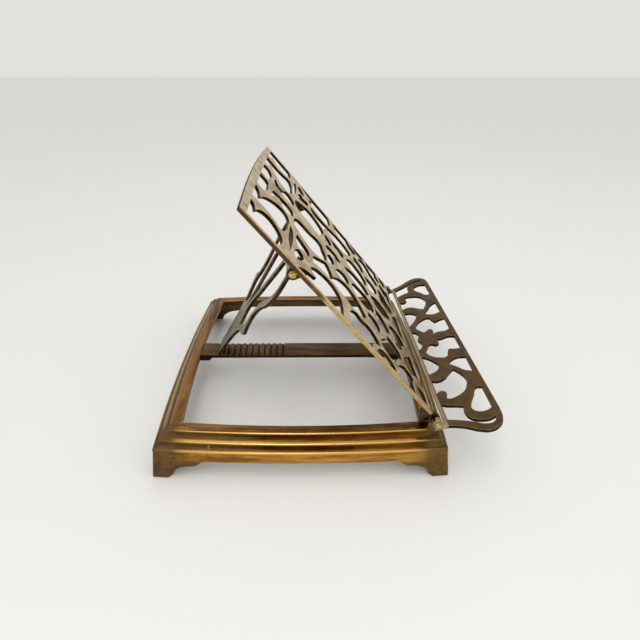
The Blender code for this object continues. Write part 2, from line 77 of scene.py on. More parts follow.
LEDGE_THICK = 3.0 * MM
PROP_THICK = 3.4 * MM
PROP_LENGTH = 147.096 * MM
LEDGE_AXIS_DOWN = 6.4 * MM
LEDGE_AXIS_OUT = 5.0 * MM
PROP_AXIS_UP = 155.9 * MM
PROP_AXIS_BACK = 7.0 * MM
RING_RADIUS = 3.9 * MM
EYE_RADIUS = 4.1 * MM
PIN_RADIUS = 1.8 * MM
BORE_RADIUS = 2.05 * MM
WASHER_RADIUS = 3.4 * MM
PROP_EYE_RADIUS = 4.6 * MM
PROP_LUG_RADIUS = 5.0 * MM
PROP_SCREW_RADIUS = 3.3 * MM
LEDGE_SCREW_RADIUS = 2.7 * MM
SCREW_HEAD_RISE = 2.0 * MM
EAR_REACH = 9.0 * MM
LUG_FOOT = (-4.6 * MM, 3.0 * MM)
LUG_FOOT_RISE = 2 * MM
BAR_RAMP = 1.2 * MM               # run up from the first notch to the bar's flat top
PANEL_TRIM = 1.0                  # mm by which the panel's openings are wider than traced

ARC_STEPS = 48                    # steps of a full turn
RIM_SEGMENTS = 3                  # bevel steps of a rounded rim
BUMP_DISTANCE = 0.0004

# ---- places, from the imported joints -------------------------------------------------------
PANEL_ANGLE = math.radians(49.4)
LEDGE_ANGLE = math.radians(16.7)
PROP_ANGLE = math.radians(57.2)
JOINTS = {joint["name"]: Vector(joint["pos_m"]) for joint in frame["record"]["behaviour"]["joints"]}
BASE_Y = (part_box("ratchet_bar")[0][1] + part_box("ratchet_bar")[1][1]) / 2


def hinge_frame(origin, angle):
    """Placement with local X along a hinge and local Y turned up by an angle."""
    return Matrix.Translation(origin) @ Matrix.Rotation(angle, 4, "X")


PANEL_PLACE = hinge_frame(JOINTS["panel_tilt"], PANEL_ANGLE)
LEDGE_PLACE = hinge_frame(JOINTS["ledge_fold"], math.pi - LEDGE_ANGLE)
PROP_PLACE = hinge_frame(JOINTS["prop_swing"], math.pi - PROP_ANGLE)
PROP_HINGE_PLACE = hinge_frame(JOINTS["prop_swing"], PANEL_ANGLE)
LEDGE_HINGE_PLACE = hinge_frame(JOINTS["ledge_fold"], PANEL_ANGLE)
HINGE_PLACE = hinge_frame(JOINTS["panel_tilt"], 0)

# ---- outlines in millimetres; a third value marks a sharp corner ---------------------------
# Back panel: X across and Y up the panel from its hinge. These are the left half's openings.
PANEL_EDGE = [
    (-123, 2, 1), (-123, 218.3, 1), (-122.4, 219.9), (-120.8, 220.6, 1), (-62, 223), (0, 224), (62, 223),
    (120.8, 220.6, 1), (122.4, 219.9), (123, 218.3, 1), (123, 2, 1)]
PANEL_OPENINGS = [
    # under the top rail: three openings between hooked leaves
    [(-118, 214, 1), (-87, 214.5, 1), (-91, 211), (-99, 208.5, 1), (-90, 205), (-85, 199), (-86, 192),
     (-93, 186), (-103, 183), (-118, 186, 1)],
    [(-76, 215, 1), (-46, 215.5, 1), (-51, 211.5), (-63, 208.5, 1), (-52, 204.5), (-43, 199), (-36, 191),
     (-35, 184), (-42, 179.5), (-58, 179.5), (-76, 181.5), (-82, 184.5), (-78, 192), (-75, 202)],
    [(-37, 215.5, 1), (-4, 216, 1), (-4.5, 208), (-15, 206), (-28, 205.5, 1), (-33, 207), (-38, 210)],
    [(-30, 199, 1), (-22, 200), (-10, 198, 1), (-8, 190), (-8, 178), (-16, 175), (-25, 177), (-29, 184),
     (-18, 191), (-22, 196)],
    # slits between the side stems
    [(-104, 174.3, 1), (-80, 176.3), (-52, 175.8, 1), (-62, 173.2), (-84, 172.6)],
    [(-107, 168, 1), (-94, 168.5), (-84, 165, 1), (-88, 161.5), (-98, 162)],
    [(-80, 165, 1), (-70, 168), (-56, 167.5, 1), (-61, 161), (-66, 155), (-79, 155, 1), (-75, 160)],
    # middle row
    [(-118, 165, 1), (-111, 160), (-106, 152), (-103, 145, 1), (-97, 151), (-88, 147), (-82, 138), (-80, 129),
     (-85, 120), (-98, 116.5), (-118, 117, 1)],
    [(-53, 152), (-47, 162), (-37, 171), (-21, 171, 1), (-15, 165), (-14, 152), (-11, 138), (-20, 135),
     (-34, 131), (-44, 134), (-51, 143)],
    [(-78, 148, 1), (-64, 147), (-54, 138), (-46, 130, 1), (-53, 126), (-64, 123, 1), (-56, 118), (-48, 110),
     (-46, 100), (-52, 92), (-62, 85), (-73, 82), (-80, 90), (-82, 100), (-78, 112), (-74, 124), (-73, 136)],
    [(-36, 127, 1), (-26, 128), (-14, 124, 1), (-20, 120), (-30, 121)],
    [(-40, 118, 1), (-32, 115), (-24, 108), (-25, 101), (-36, 99, 1), (-41, 107)],
    # lower rows
    [(-118, 108, 1), (-104, 106), (-91, 102), (-85, 95, 1), (-88, 88), (-86, 79), (-92, 71), (-102, 68, 1),
     (-107, 78), (-118, 82, 1)],
    [(-118, 75, 1), (-110, 71), (-104, 62), (-109, 53), (-118, 51, 1)],
    [(-37, 92, 1), (-28, 93), (-18, 88, 1), (-16, 77), (-18, 66), (-27, 62), (-38, 64), (-45, 72), (-47, 82)],
    [(-80, 74, 1), (-68, 75), (-54, 74, 1), (-53, 66), (-60, 60), (-72, 62, 1), (-76, 68)],
    [(-98, 60, 1), (-88, 63), (-78, 57), (-70, 50), (-60, 48, 1), (-62, 40), (-70, 32), (-80, 32, 1),
     (-86, 40), (-96, 45), (-103, 51)],
    [(-48, 60, 1), (-36, 57), (-22, 57, 1), (-26, 48), (-35, 42), (-46, 40, 1), (-52, 48)],
    [(-118, 44, 1), (-107, 44), (-96, 38), (-89, 29, 1), (-95, 21), (-104, 25), (-118, 25, 1)],
    [(-58, 32), (-46, 34), (-34, 36, 1), (-24, 32), (-20, 24), (-26, 16), (-38, 14, 1), (-44, 21),
     (-54, 22, 1)],
    [(-118, 19, 1), (-108, 17), (-98, 13, 1), (-102, 8.5), (-118, 8, 1)],
    [(-90, 20, 1), (-80, 25), (-68, 23), (-58, 15), (-50, 8.5, 1), (-88, 8, 1), (-84, 13)],
]
PANEL_MIDDLE_OPENINGS = [
    [(-7, 123), (0, 128), (7, 123), (8, 114, 1), (0, 106, 1), (-8, 114, 1)],
    [(0, 101, 1), (9, 91), (11, 77), (7, 67), (0, 63, 1), (-7, 67), (-11, 77), (-9, 91)],
    [(-10, 52, 1), (0, 58), (10, 52, 1), (13, 42), (8, 32), (0, 28), (-8, 32), (-13, 42)],
    [(-14, 18, 1), (0, 21), (14, 18, 1), (26, 8.5, 1), (-26, 8.5, 1)],
]

# Ledge: X across and Y towards the reader along the ledge's face, from under its hinge.
LEDGE_EDGE = [
    (-121.8, 5.4, 1), (-121.8, -3.6, 1), (-127.6, -3.6, 1), (-127.8, 8), (-132, 19), (-138, 28), (-141, 37),
    (-138.5, 44), (-132, 49), (-120, 51, 1), (120, 51, 1), (132, 49), (138.5, 44), (141, 37), (138, 28),
    (132, 19), (127.8, 8), (127.6, -3.6, 1), (121.8, -3.6, 1), (121.8, 5.4, 1)]
LEDGE_OPENINGS = [
    [(-127.5, 45.5, 1), (-133, 42), (-133.5, 36), (-129, 28), (-124, 18), (-120.5, 9, 1), (-102, 9, 1),
     (-104.5, 13), (-107, 20), (-109, 25, 1), (-117, 24), (-125, 27), (-128.5, 33), (-129.5, 40)],
    [(-117, 46, 1), (-91, 46.5, 1), (-90, 42.5), (-98, 37.5), (-107, 32.5), (-114, 31), (-119, 35),
     (-119.5, 41)],
    [(-68, 46.5, 1), (-45, 47, 1), (-43, 40), (-45, 34), (-50, 29.5, 1), (-56, 35), (-64, 40.5)],
    [(-30, 47, 1), (-8, 47, 1), (-5.5, 42), (-6.5, 33), (-5, 29.5, 1), (-14, 29.5), (-15.5, 26, 1),
     (-12, 21.5), (-16, 18), (-24, 15), (-32, 18), (-37, 24), (-38.5, 31), (-32, 34), (-27.5, 36.5),
     (-29, 41)],
    [(-96, 24, 1), (-92, 31), (-85, 35.5), (-77, 37.5), (-68, 35.5), (-59, 31, 1), (-64, 25.5), (-69.5, 20),
     (-71, 13), (-69, 9, 1), (-87, 9, 1), (-85, 13), (-88, 17), (-92, 16), (-94, 14, 1), (-97, 18)],
    [(-59, 9, 1), (-58.5, 12), (-55.5, 17.5), (-49, 20.5), (-42, 18), (-34, 13), (-30, 9, 1)],
]
LEDGE_MIDDLE_OPENINGS = [
    [(-17.5, 9, 1), (-15, 12), (-9, 14), (0, 11.5, 1), (9, 14), (15, 12), (17.5, 9, 1)],
]

# Prop: X across and Y down from its hinge to its tip.
PROP_EDGE = [
    (-85.2, -3, 1), (-85.2, 8), (-87.5, 24), (-80, 38), (-57, 60), (-54, 70), (-60, 77), (-66, 79, 1),
    (-58, 86), (-44, 92), (-33, 99), (-24, 110), (-17, 126), (-13.2, PROP_LENGTH / MM, 1)]
PROP_OPENINGS = [
    [(-79, 9, 1), (-81.5, 22), (-74, 34), (-51, 56), (-46.5, 68), (-48, 80), (-38, 88), (-24, 98, 1),
     (-12, 84), (-22, 56), (-35, 24), (-38, 15, 1), (-60, 9)],
]
PROP_MIDDLE_OPENINGS = [
    [(0, 92, 1), (-5, 76), (-15, 52), (-29, 20), (-31, 14, 1), (0, 17), (31, 14, 1), (29, 20), (15, 52),
     (5, 76)],
]
PROP_CREST = [(-79.6, 3, 1), (-60, -3.5), (-30, -8.5), (0, -10), (30, -8.5), (60, -3.5), (79.6, 3, 1)]


# ---- bench helpers ------------------------------------------------------------------------
def pick_only(item):
    bpy.ops.object.select_all(action="DESELECT")
    item.select_set(True)
    bpy.context.view_layer.objects.active = item


def current():
    return bpy.context.view_layer.objects.active


def joined(items):
    """Several pieces made one."""
    bpy.ops.object.select_all(action="DESELECT")
    for item in items:
        item.select_set(True)
    bpy.context.view_layer.objects.active = items[0]
    bpy.ops.object.join()
    return current()


def use_modifier(item, kind, **settings):
    """Add a modifier and apply it."""
    pick_only(item)
    step = item.modifiers.new(kind.lower(), kind)
    for key, value in settings.items():
        setattr(step, key, value)
    bpy.ops.object.modifier_apply(modifier=step.name)


def round_rims(item, width, angle=35, **settings):
    use_modifier(item, "BEVEL", width=width, segments=RIM_SEGMENTS, limit_method="ANGLE",
                 angle_limit=math.radians(angle), **settings)


def clean_shell(item):
    """Merge doubles and point the faces outwards."""
    pick_only(item)
    bpy.ops.object.mode_set(mode="EDIT")
    bpy.ops.mesh.select_all(action="SELECT")
    bpy.ops.mesh.remove_doubles(threshold=0.002 * MM)
    bpy.ops.mesh.normals_make_consistent(inside=False)
    bpy.ops.object.mode_set(mode="OBJECT")


def slab(outline, x_low, x_high, rim):
    """A flat piece across X: its (y, z) outline drawn as a filled ring, extruded, rims rounded."""
    bpy.ops.object.select_all(action="DESELECT")
    bpy.ops.mesh.primitive_circle_add(vertices=len(outline), fill_type="NGON")
    item = current()
    for vertex, (y, z) in zip(item.data.vertices, outline):
        vertex.co = (x_low, y, z)
    bpy.ops.object.mode_set(mode="EDIT")
    bpy.ops.mesh.select_all(action="SELECT")
    bpy.ops.mesh.extrude_region_move(TRANSFORM_OT_translate={"value": (x_high - x_low, 0, 0)})
    bpy.ops.object.mode_set(mode="OBJECT")
    clean_shell(item)
    if rim:
        round_rims(item, rim)
    return item


def turned(profile, centre=(0, 0)):
    """A piece turned about a line along X: its (x, radius) profile spun a full turn. A profile that starts
    on the line is solid, and loses the edge that closes it along the line."""
    bpy.ops.object.select_all(action="DESELECT")
    bpy.ops.mesh.primitive_circle_add(vertices=len(profile), fill_type="NOTHING")
    item = current()
    for vertex, (x, radius) in zip(item.data.vertices, profile):
        vertex.co = (x, centre[0], centre[1] + radius)
    if profile[0][1] == 0:
        bpy.context.tool_settings.mesh_select_mode = (False, True, False)
        for vertex in item.data.vertices:
            vertex.select = False
        for edge in item.data.edges:
            edge.select = set(edge.vertices) == {0, len(profile) - 1}
        bpy.ops.object.mode_set(mode="EDIT")
        bpy.ops.mesh.delete(type="EDGE")
        bpy.ops.object.mode_set(mode="OBJECT")
        bpy.context.tool_settings.mesh_select_mode = (True, False, False)
    bpy.ops.object.mode_set(mode="EDIT")
    bpy.ops.mesh.select_all(action="SELECT")
    bpy.ops.mesh.spin(steps=ARC_STEPS, angle=math.tau, center=(0, *centre), axis=(1, 0, 0))
    bpy.ops.object.mode_set(mode="OBJECT")
    clean_shell(item)
    return item


def drill(item, x_low, x_high, radius, centre=(0, 0)):
    """A round hole along X."""
    cutter = turned([(x_low, 0), (x_low, radius), (x_high, radius), (x_high, 0)], centre)
    use_modifier(item, "BOOLEAN", operation="DIFFERENCE", object=cutter, solver="EXACT")
    bpy.data.objects.remove(cutter, do_unlink=True)


def circle_points(centre, radius):
    turns = [math.tau * step / ARC_STEPS for step in range(ARC_STEPS)]
    return [(centre[0] + radius * math.cos(turn), centre[1] + radius * math.sin(turn)) for turn in turns]


def taut_outline(points):
    """The convex outline round some points, anticlockwise."""
    def half(run):
        kept = []
        for point in run:
            while len(kept) > 1 and ((kept[-1][0] - kept[-2][0]) * (point[1] - kept[-2][1])
                                     <= (kept[-1][1] - kept[-2][1]) * (point[0] - kept[-2][0])):
                kept.pop()
            kept.append(point)
        return kept[:-1]
    run = sorted(set(points))
    return half(run) + half(run[::-1])


def mirror_outline(points):
    return [(-point[0], *point[1:]) for point in reversed(points)]


def both_sides(openings, middle):
    return openings + [mirror_outline(opening) for opening in openings] + middle


def area(points):
    return sum(a[0] * b[1] - b[0] * a[1] for a, b in zip(points, points[1:] + points[:1])) / 2


def widened(outline, trim):
    """An outline with its points moved away from its middle by trim, in mm."""
    middle = sum((Vector(point[:2]) for point in outline), Vector((0, 0))) / len(outline)
    wider = []
    for point in outline:
        away = Vector(point[:2]) - middle
        place = middle + away * (1 + trim / away.length)
        wider.append((place.x, place.y, *point[2:]))
    return wider


def prism(outline, thickness, steps):
    """A flat solid with a smooth outline in mm, lying in XY with its mid plane at z = 0."""
    if area(outline) < 0:
        outline = outline[::-1]
    curve = bpy.data.curves.new("prism", "CURVE")
    curve.dimensions = "2D"
    curve.fill_mode = "BOTH"
    curve.resolution_u = steps
    curve.extrude = thickness / 2
    spline = curve.splines.new("BEZIER")
    spline.bezier_points.add(len(outline) - 1)
    spline.use_cyclic_u = True
    for knot, point in zip(spline.bezier_points, outline):
        knot.co = (point[0] * MM, (point[1] + CROWN * abs(point[0])) * MM, 0)
        kind = "VECTOR" if len(point) == 3 else "AUTO"
        knot.handle_left_type = kind
        knot.handle_right_type = kind
    item = bpy.data.objects.new("prism", curve)
    bpy.context.scene.collection.objects.link(item)
    pick_only(item)
    bpy.ops.object.convert(target="MESH")
    item = current()
    clean_shell(item)
    return item


def solid_triangles(triangles, rims):
    """The triangles between the outer rim and the openings, because crossing a rim leads from solid to
    air or back."""
    touching = {}
    for index, triangle in enumerate(triangles):
        for pair in zip(triangle, triangle[1:] + triangle[:1]):
            touching.setdefault(frozenset(pair), []).append(index)
    solid = {sides[0]: True for sides in touching.values() if len(sides) == 1}
    queue = list(solid)
    while queue:
        index = queue.pop()
        triangle = triangles[index]
        for pair in zip(triangle, triangle[1:] + triangle[:1]):
            edge = frozenset(pair)
            for other in touching[edge]:
                if other not in solid:
                    solid[other] = solid[index] != (edge in rims)
                    queue.append(other)
    return [triangle for index, triangle in enumerate(triangles) if solid[index]]


def refill_faces(item):
    """Take the flat faces away and fill them again triangle by triangle, every opening left open."""
    shell = bmesh.new()
    shell.from_mesh(item.data)
    flat = [face for face in shell.faces if len({round(vertex.co.z, 6) for vertex in face.verts}) == 1]
    bmesh.ops.delete(shell, geom=flat, context="FACES")
    for side in (1, -1):
        rims = [edge for edge in shell.edges
                if edge.is_boundary and all(vertex.co.z * side > 0 for vertex in edge.verts)]
        corners = list({vertex: None for edge in rims for vertex in edge.verts})
        number = {vertex: index for index, vertex in enumerate(corners)}
        pairs = [(number[edge.verts[0]], number[edge.verts[1]]) for edge in rims]
        _, _, faces, origins, _, _ = delaunay_2d_cdt(
            [vertex.co.xy for vertex in corners], pairs, [], 1, 1e-7)
        faces = [tuple(origins[index][0] if origins[index] else -index - 1 for index in face)
                 for face in faces]
        for face in solid_triangles(faces, {frozenset(pair) for pair in pairs}):
            if min(face) >= 0:
                shell.faces.new([corners[index] for index in face])
    shell.to_mesh(item.data)
    shell.free()


def pierced_plate(edge, openings, thickness, rim, steps, trim=0.0):
    """A flat plate with smooth openings, each cut wider by trim mm all round, and rounded rims."""
    plate = prism(edge, thickness, steps)
    cutter = joined([prism(widened(opening, trim), 3 * thickness, steps) for opening in openings])
    use_modifier(plate, "BOOLEAN", operation="DIFFERENCE", object=cutter, solver="EXACT")
    bpy.data.objects.remove(cutter, do_unlink=True)
    refill_faces(plate)
    clean_shell(plate)
    round_rims(plate, rim, 50, use_clamp_overlap=False)
    clean_shell(plate)
    shell = bmesh.new()
    shell.from_mesh(plate.data)
    if shell.calc_volume(signed=True) < 0:
        bmesh.ops.reverse_faces(shell, faces=shell.faces)
        shell.to_mesh(plate.data)
    shell.free()
    return plate


def twin(item):
    """A copy with its own mesh, mirrored to the other side."""
    pick_only(item)
    bpy.ops.object.duplicate()
    copy = current()
    bpy.ops.transform.mirror(constraint_axis=(True, False, False))
    bpy.ops.object.transform_apply(location=True, rotation=True, scale=True)
    clean_shell(copy)
    return copy


def finish_piece(item, name, placement, material, body, nodes=()):
    """Put a piece in its place in its mesh, shade it, and say what it is."""
    item.name = name
    item.data.name = name
    item.data.transform(placement)
    item.data.materials.clear()
    item.data.materials.append(material)
    pick_only(item)
    bpy.ops.object.shade_smooth_by_angle(angle=math.radians(32))
    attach(item, body)
    if nodes:
        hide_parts(*nodes)


def finish_pair(item, name, placement, material, body, node=None):
    """The piece at +X and its mirror image at -X."""
    other = twin(item)
    for side, half in (("right", item), ("left", other)):
        nodes = (node + "_" + side,) if node else ()
        finish_piece(half, name + "_" + side, placement, material, body, nodes)


# ---- shader helpers -----------------------------------------------------------------------
def feed(tree, socket, value):
    """Link an output into an input, or set the input to a plain value."""
    if isinstance(value, bpy.types.NodeSocket):
        tree.links.new(value, socket)
    else:
        socket.default_value = value


def add_node(tree, kind, settings=None, **sockets):
    """A node with its properties set, and its inputs set or linked by name."""
    item = tree.nodes.new(kind)
    for key, value in (settings or {}).items():
        setattr(item, key, value)
    for key, value in sockets.items():
        feed(tree, item.inputs[key.replace("_", " ")], value)
    return item


def calculate(tree, operation, first, second=0.0):
    item = add_node(tree, "ShaderNodeMath", {"operation": operation})
    for socket, value in zip(item.inputs, (first, second)):
        feed(tree, socket, value)
    return item.outputs[0]


def times(tree, first, second):
    return calculate(tree, "MULTIPLY", first, second)


def vector_math(tree, operation, first, second):
    item = add_node(tree, "ShaderNodeVectorMath", {"operation": operation})
    for socket, value in zip(item.inputs, (first, second)):
        feed(tree, socket, value)
    return item


def object_place(tree):
    return add_node(tree, "ShaderNodeTexCoord").outputs["Object"]


def smooth_mask(tree, value, low, high):
    item = add_node(tree, "ShaderNodeMapRange", {"interpolation_type": "SMOOTHSTEP"}, Value=value,
                    From_Min=low, From_Max=high)
    return item.outputs["Result"]


def blend_colour(tree, factor, first, second):
    item = add_node(tree, "ShaderNodeMix", {"data_type": "RGBA"})
    for index, value in ((0, factor), (6, first), (7, second)):
        feed(tree, item.inputs[index], (*value, 1.0) if isinstance(value, tuple) else value)
    return item.outputs[2]


def new_group(name, inputs, outputs):
    tree = bpy.data.node_groups.new(name, "ShaderNodeTree")
    for label, kind, value in inputs:
        socket = tree.interface.new_socket(name=label, in_out="INPUT", socket_type=kind)
        socket.default_value = value
    for label, kind in outputs:
        tree.interface.new_socket(name=label, in_out="OUTPUT", socket_type=kind)
    return tree, tree.nodes.new("NodeGroupInput"), tree.nodes.new("NodeGroupOutput")


FLOAT, VECTOR = "NodeSocketFloat", "NodeSocketVector"


def make_clouds():
    """Patches of tarnish: stretched fractal noise cut to a soft mask."""
    tree, given, result = new_group("tarnish clouds", [
        ("Size", FLOAT, 60.0), ("Stretch", VECTOR, (1, 1, 1)), ("Low", FLOAT, 0.4), ("High", FLOAT, 0.6)],
        [("Mask", FLOAT)])
    stretched = vector_math(tree, "MULTIPLY", object_place(tree), given.outputs["Stretch"])
    noise = add_node(tree, "ShaderNodeTexNoise", Vector=stretched.outputs[0], Scale=given.outputs["Size"],
                     Detail=7.0, Roughness=0.62)
    mask = smooth_mask(tree, noise.outputs["Fac"], given.outputs["Low"], given.outputs["High"])
    tree.links.new(mask, result.inputs["Mask"])
    return tree


def make_skin():
    """Cast and rubbed skin: fine grain with small pits and longer hollows, as a height."""
    tree, given, result = new_group("cast skin", [
        ("Grain", FLOAT, 1500.0), ("Pits", FLOAT, 420.0), ("Hollows", FLOAT, 90.0)], [("Height", FLOAT)])
    place = add_node(tree, "ShaderNodeTexCoord").outputs["Object"]
    grain = add_node(tree, "ShaderNodeTexNoise", Vector=place, Scale=given.outputs["Grain"], Detail=4.0)
    hollows = add_node(tree, "ShaderNodeTexNoise", Vector=place, Scale=given.outputs["Hollows"], Detail=3.0)
    cells = add_node(tree, "ShaderNodeTexVoronoi", Vector=place, Scale=given.outputs["Pits"])
    pits = smooth_mask(tree, cells.outputs["Distance"], 0.05, 0.32)
    total = times(tree, grain.outputs["Fac"], 0.25)
    total = calculate(tree, "ADD", total, times(tree, pits, 0.22))
    total = calculate(tree, "ADD", total, times(tree, hollows.outputs["Fac"], 0.9))
    tree.links.new(total, result.inputs["Height"])
    return tree


def make_sides():
    """Which way a plate's surface faces: its back, its cut walls and its rounded rims."""
    tree, given, result = new_group("plate sides", [("Front", VECTOR, (0, 0, 1))], [
        ("Back", FLOAT), ("Wall", FLOAT), ("Rim", FLOAT)])
    normal = add_node(tree, "ShaderNodeTexCoord").outputs["Normal"]
    facing = vector_math(tree, "DOT_PRODUCT", normal, given.outputs["Front"]).outputs["Value"]
    across = calculate(tree, "ABSOLUTE", facing)
    back = smooth_mask(tree, times(tree, facing, -1.0), 0.80, 0.97)
    wall = smooth_mask(tree, across, 0.86, 0.5)
    rim = times(tree, smooth_mask(tree, across, 0.72, 0.86), smooth_mask(tree, across, 0.998, 0.96))
    for label, mask in (("Back", back), ("Wall", wall), ("Rim", rim)):
        tree.links.new(mask, result.inputs[label])
    return tree


def make_rail_bands():
    """Bands of the rail mouldings by their depth in mm below the top, and masks for the side rails, the
    corners, the left half (Near) and the feet. Forward runs from -1 at the rear to 1 at the front."""
    labels = ("Groove", "Ridge", "Fascia", "Top", "Side rail", "Corner", "Near", "Forward", "Foot")
    tree, given, result = new_group("rail bands", [("Middle", FLOAT, 0.0)],
                                    [(label, FLOAT) for label in labels])
    parts = add_node(tree, "ShaderNodeSeparateXYZ", Vector=object_place(tree))
    x, z = parts.outputs["X"], parts.outputs["Z"]
    y = calculate(tree, "SUBTRACT", parts.outputs["Y"], given.outputs["Middle"])
    below = times(tree, calculate(tree, "SUBTRACT", BASE_HEIGHT, z), 1000.0)

    def band(start, full, fade, end):
        return times(tree, smooth_mask(tree, below, start, full), smooth_mask(tree, below, end, fade))

    groove = calculate(tree, "MAXIMUM", band(1.0, 1.9, 4.3, 5.0), band(6.1, 7.1, 9.6, 10.2))
    ridge = calculate(tree, "MAXIMUM", band(0.1, 0.35, 0.7, 1.1), band(4.85, 5.15, 5.6, 6.2))
    ridge = calculate(tree, "MAXIMUM", ridge, band(10.0, 10.4, 11.2, 12.2))
    fascia = smooth_mask(tree, below, 11.4, 12.6)
    top = smooth_mask(tree, below, 0.4, 0.05)
    near = smooth_mask(tree, x, 0.01, -0.01)
    forward = calculate(tree, "DIVIDE", y, -BASE_DEPTH / 2)
    foot = smooth_mask(tree, z, FASCIA_BOTTOM + MM, FASCIA_BOTTOM - 4 * MM)
    reach_x = calculate(tree, "DIVIDE", calculate(tree, "ABSOLUTE", x), BASE_WIDTH / 2)
    reach_y = calculate(tree, "DIVIDE", calculate(tree, "ABSOLUTE", y), BASE_DEPTH / 2)
    side_rail = calculate(tree, "GREATER_THAN", reach_x, reach_y)
    along = calculate(tree, "MINIMUM", reach_x, reach_y)
    corner = smooth_mask(tree, along, 0.72, 0.93)
    for label, mask in zip(labels, (groove, ridge, fascia, top, side_rail, corner, near, forward, foot)):
        tree.links.new(mask, result.inputs[label])
    return tree


CLOUDS = make_clouds()
SKIN = make_skin()
SIDES = make_sides()
BANDS = make_rail_bands()


def use_group(tree, group, **sockets):
    return add_node(tree, "ShaderNodeGroup", {"node_tree": group}, **sockets)


def clouds(tree, size, low, high, stretch=(1, 1, 1)):
    return use_group(tree, CLOUDS, Size=size, Stretch=stretch, Low=low, High=high).outputs["Mask"]


def new_metal(name):
    material = bpy.data.materials.new(name)
    material.use_nodes = True
    tree = material.node_tree
    return material, tree, tree.nodes["Principled BSDF"]


def set_metal(tree, shader, colour, roughness, depth, **skin):
    """Link a colour, a roughness and the cast skin's bump into the shader of a metal."""
    tree.links.new(colour, shader.inputs["Base Color"])
    tree.links.new(roughness, shader.inputs["Roughness"])
    shader.inputs["Metallic"].default_value = 1.0
    height = use_group(tree, SKIN, **skin).outputs["Height"]
    bump = add_node(tree, "ShaderNodeBump", Strength=depth, Distance=BUMP_DISTANCE, Height=height)
    tree.links.new(bump.outputs["Normal"], shader.inputs["Normal"])


def mix_value(tree, factor, first, second):
    item = add_node(tree, "ShaderNodeMix")
    for index, value in ((0, factor), (2, first), (3, second)):
        feed(tree, item.inputs[index], value)
    return item.outputs[0]


# ---- finishes -----------------------------------------------------------------------------
def cast_base_brass():
    """Old cast brass: the left rail handled to a golden polish, dark red-brown in its coves, the rest and the
    feet olive brown. Painted highlights run along the ridges of the mouldings, brightest on the polished
    rail, and in streaks on its fascia."""
    material, tree, shader = new_metal("cast_base_brass")
    bands = use_group(tree, BANDS, Middle=BASE_Y)
    groove, ridge, fascia, top, corner, side_rail, near, forward, foot = (
        bands.outputs[label] for label in ("Groove", "Ridge", "Fascia", "Top", "Corner", "Side rail", "Near",
                                           "Forward", "Foot"))
    streaks_y = clouds(tree, 70.0, 0.38, 0.66, (3.2, 0.28, 3.2))
    streaks_x = clouds(tree, 70.0, 0.38, 0.66, (0.28, 3.2, 3.2))
    streaks = mix_value(tree, side_rail, streaks_x, streaks_y)
    broad = clouds(tree, 22.0, 0.40, 0.62)
    blotches = clouds(tree, 60.0, 0.42, 0.64)
    fine = clouds(tree, 260.0, 0.35, 0.7)
    front_end = smooth_mask(tree, calculate(tree, "ADD", forward, times(tree, broad, 0.25)), 0.3, 0.85)
    rear_end = smooth_mask(tree, calculate(tree, "SUBTRACT", times(tree, broad, 0.2), forward), 0.35, 0.8)
    # polished rail
    gold = blend_colour(tree, streaks, (0.42, 0.185, 0.022), (0.155, 0.056, 0.006))
    # painted highlight: the polished rail's fascia lightened to pale gold, most where its streaks are light
    gold = blend_colour(tree, times(tree, fascia, mix_value(tree, streaks, 0.7, 0.15)), gold,
                        (0.60, 0.34, 0.075))
    embers = times(tree, clouds(tree, 34.0, 0.5, 0.64, (3.0, 0.5, 3.0)), 0.55)
    gold = blend_colour(tree, embers, gold, (0.34, 0.095, 0.008))
    stained = times(tree, rear_end, mix_value(tree, blotches, 0.15, 0.85))
    gold = blend_colour(tree, stained, gold, (0.15, 0.062, 0.016))
    cove = blend_colour(tree, streaks, (0.055, 0.016, 0.002), (0.020, 0.006, 0.001))
    warm_cove = blend_colour(tree, streaks, (0.21, 0.088, 0.010), (0.08, 0.031, 0.004))
    cove = blend_colour(tree, front_end, cove, warm_cove)
    cove = blend_colour(tree, rear_end, cove, (0.105, 0.062, 0.02))
    gold = blend_colour(tree, groove, gold, cove)
    # plain rails
    bronze = blend_colour(tree, streaks, (0.165, 0.105, 0.045), (0.085, 0.05, 0.02))
    bronze = blend_colour(tree, times(tree, groove, 0.7), bronze, (0.045, 0.024, 0.01))
    polished = times(tree, times(tree, side_rail, near),
                     calculate(tree, "SUBTRACT", 1.0, times(tree, corner, 0.85)))
    colour = blend_colour(tree, polished, bronze, gold)
    # painted highlight: bright gold lines along the moulding ridges, strongest on the polished rail and
    # weaker at the corners
    ridge_highlight = times(tree, ridge, mix_value(tree, polished, 0.45, 0.9))
    ridge_highlight = times(tree, ridge_highlight, mix_value(tree, corner, 1.0, 0.45))
    colour = blend_colour(tree, ridge_highlight, colour, (0.80, 0.48, 0.15))
    brown = blend_colour(tree, streaks, (0.32, 0.155, 0.048), (0.10, 0.046, 0.015))
    colour = blend_colour(tree, top, colour, brown)
    # feet and corners
    olive = blend_colour(tree, fine, (0.125, 0.074, 0.022), (0.195, 0.118, 0.04))
    red = blend_colour(tree, blotches, (0.10, 0.042, 0.016), (0.20, 0.105, 0.045))
    feet = blend_colour(tree, smooth_mask(tree, forward, 0.1, -0.1), olive, red)
    worn_corner = times(tree, smooth_mask(tree, corner, 0.45, 0.95), mix_value(tree, broad, 0.65, 0.9))
    dull = calculate(tree, "MAXIMUM", times(tree, foot, 0.95), worn_corner)
    colour = blend_colour(tree, dull, colour, feet)
    specks = times(tree, clouds(tree, 150.0, 0.64, 0.70), times(tree, rear_end, 0.6))
    colour = blend_colour(tree, specks, colour, (0.50, 0.37, 0.15))
    roughness = mix_value(tree, groove, mix_value(tree, streaks, 0.24, 0.34), 0.36)
    roughness = mix_value(tree, dull, roughness, 0.48)
    set_metal(tree, shader, colour, roughness, 0.5, Grain=1300.0, Pits=380.0, Hollows=70.0)
    return material


